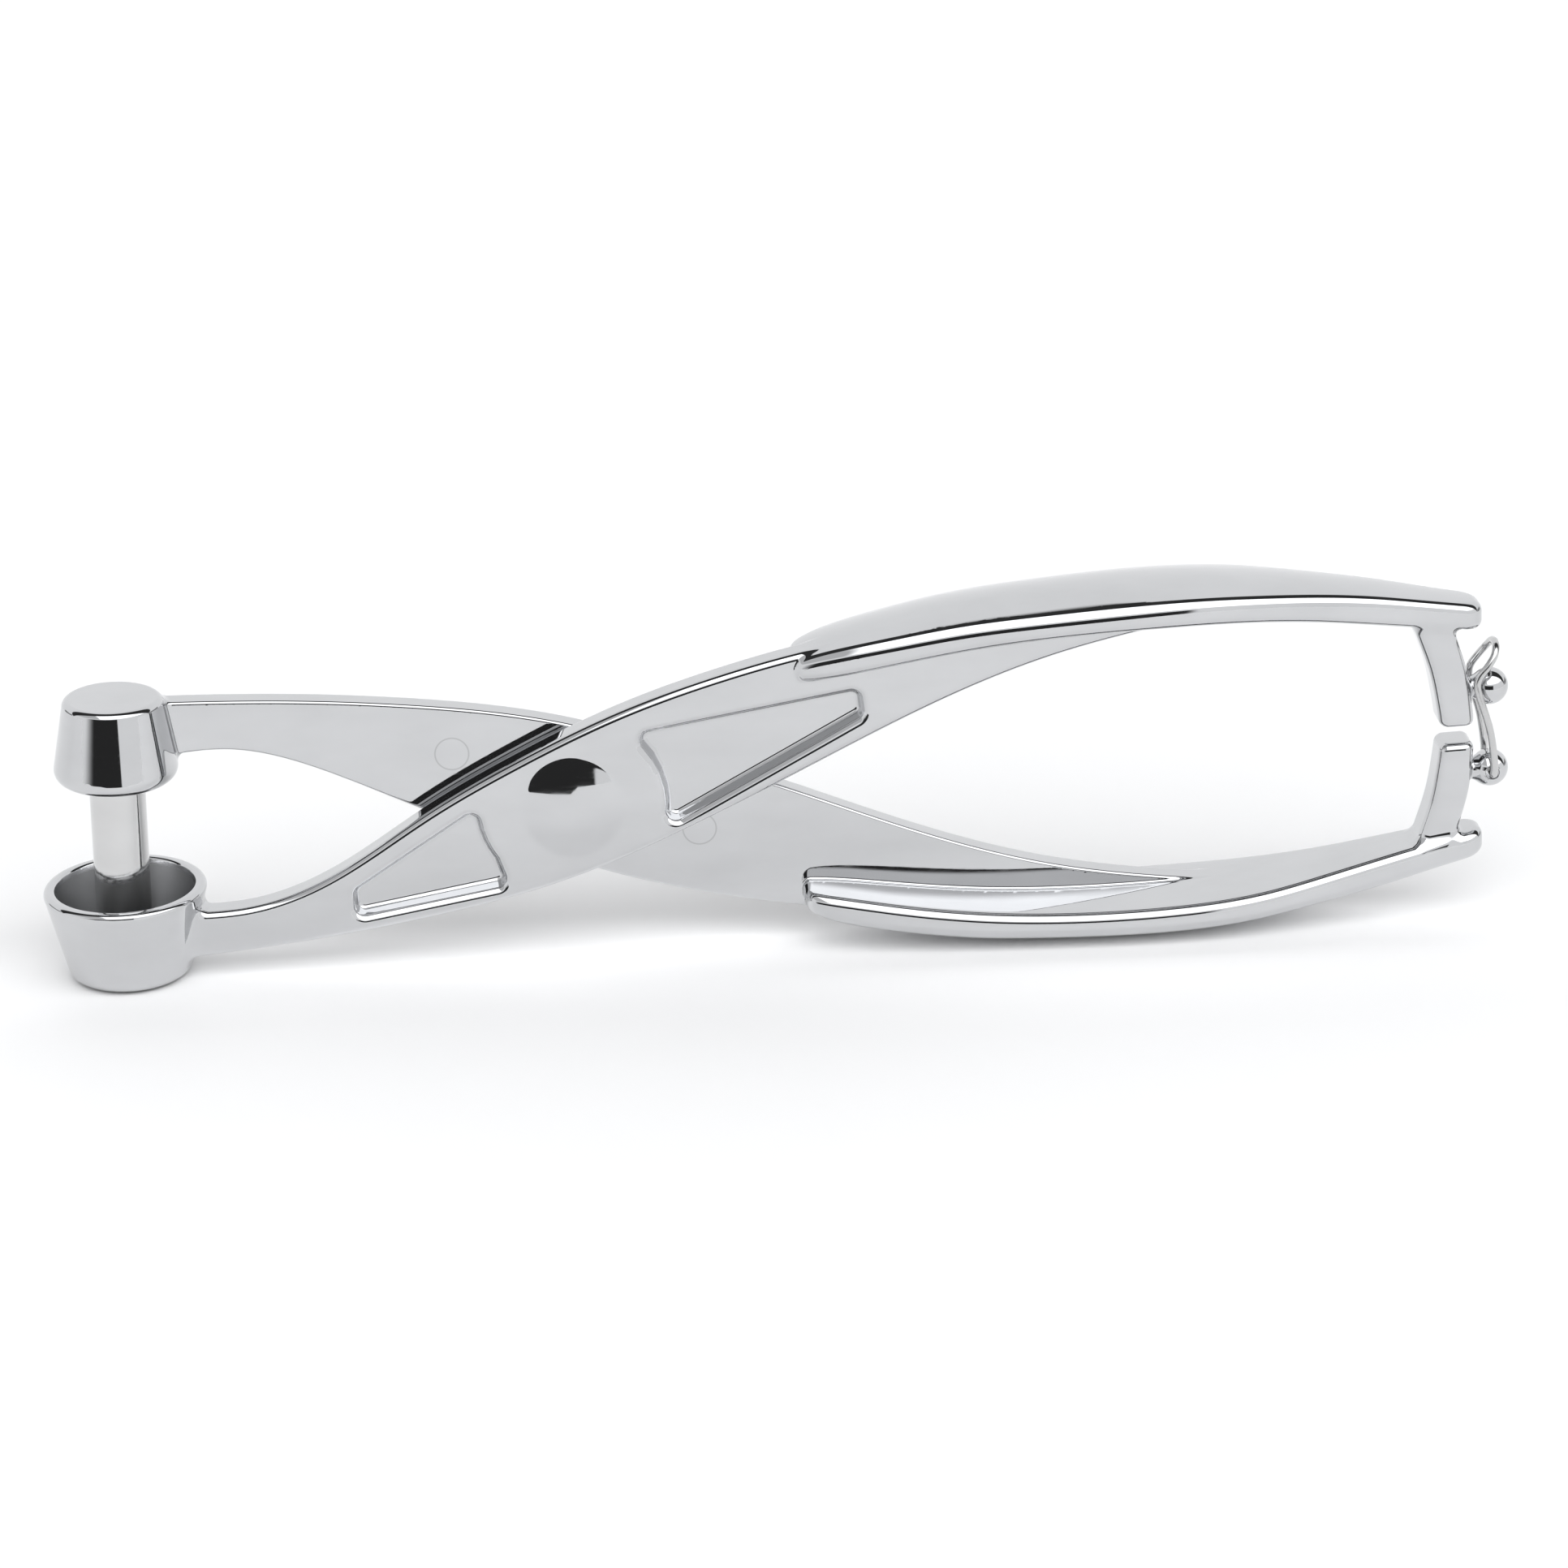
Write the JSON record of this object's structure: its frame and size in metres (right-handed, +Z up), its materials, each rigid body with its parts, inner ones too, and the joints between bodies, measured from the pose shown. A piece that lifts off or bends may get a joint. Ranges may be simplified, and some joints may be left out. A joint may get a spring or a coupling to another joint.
{
  "type": "cherry pitter",
  "caption": "Plier-type hand pitter: two crossed levers drive a punch through a drained cup; a swinging wire keeper locks the handles shut.",
  "frame": {"origin": "centre of the base of the tool's bounding box, on the surface it stands on", "axes": "+X from the cup towards the handle ends, +Y from the cup lever towards the punch lever, +Z up"},
  "size_m": [0.2028, 0.0228, 0.0515],
  "materials": {
    "chrome_plate": "bright chrome plate over a die casting",
    "bright_steel": "finely polished bright steel",
    "wire_steel": "drawn bright wire",
    "washer_nylon": "natural matt nylon"
  },
  "bodies": {
    "cup_lever": {"front_arm": "chrome_plate", "pivot_screw": "bright_steel", "thrust_washer": "washer_nylon", "spring_washer": "bright_steel", "opening_spring": "wire_steel"},
    "punch_lever": {"rear_arm": "chrome_plate", "punch_rod": "bright_steel"},
    "keeper": {"keeper_loop": "wire_steel"}
  },
  "joints": [
    {"name": "handles_open", "type": "hinge", "parent": "cup_lever", "child": "punch_lever", "pos_m": [-0.0283, 0, 0.02296], "axis": [0, 1, 0], "range_deg": [0, 21.5], "deforming": ["opening_spring"]},
    {"name": "keeper_swing", "type": "hinge", "parent": "punch_lever", "child": "keeper", "pos_m": [0.09875, 0, 0.02112], "axis": [0, 1, 0], "range_deg": [0, 119]}
  ],
  "couplings": [
    {"joint": "keeper_swing", "follows": "handles_open", "ratio": 5.5}
  ]
}
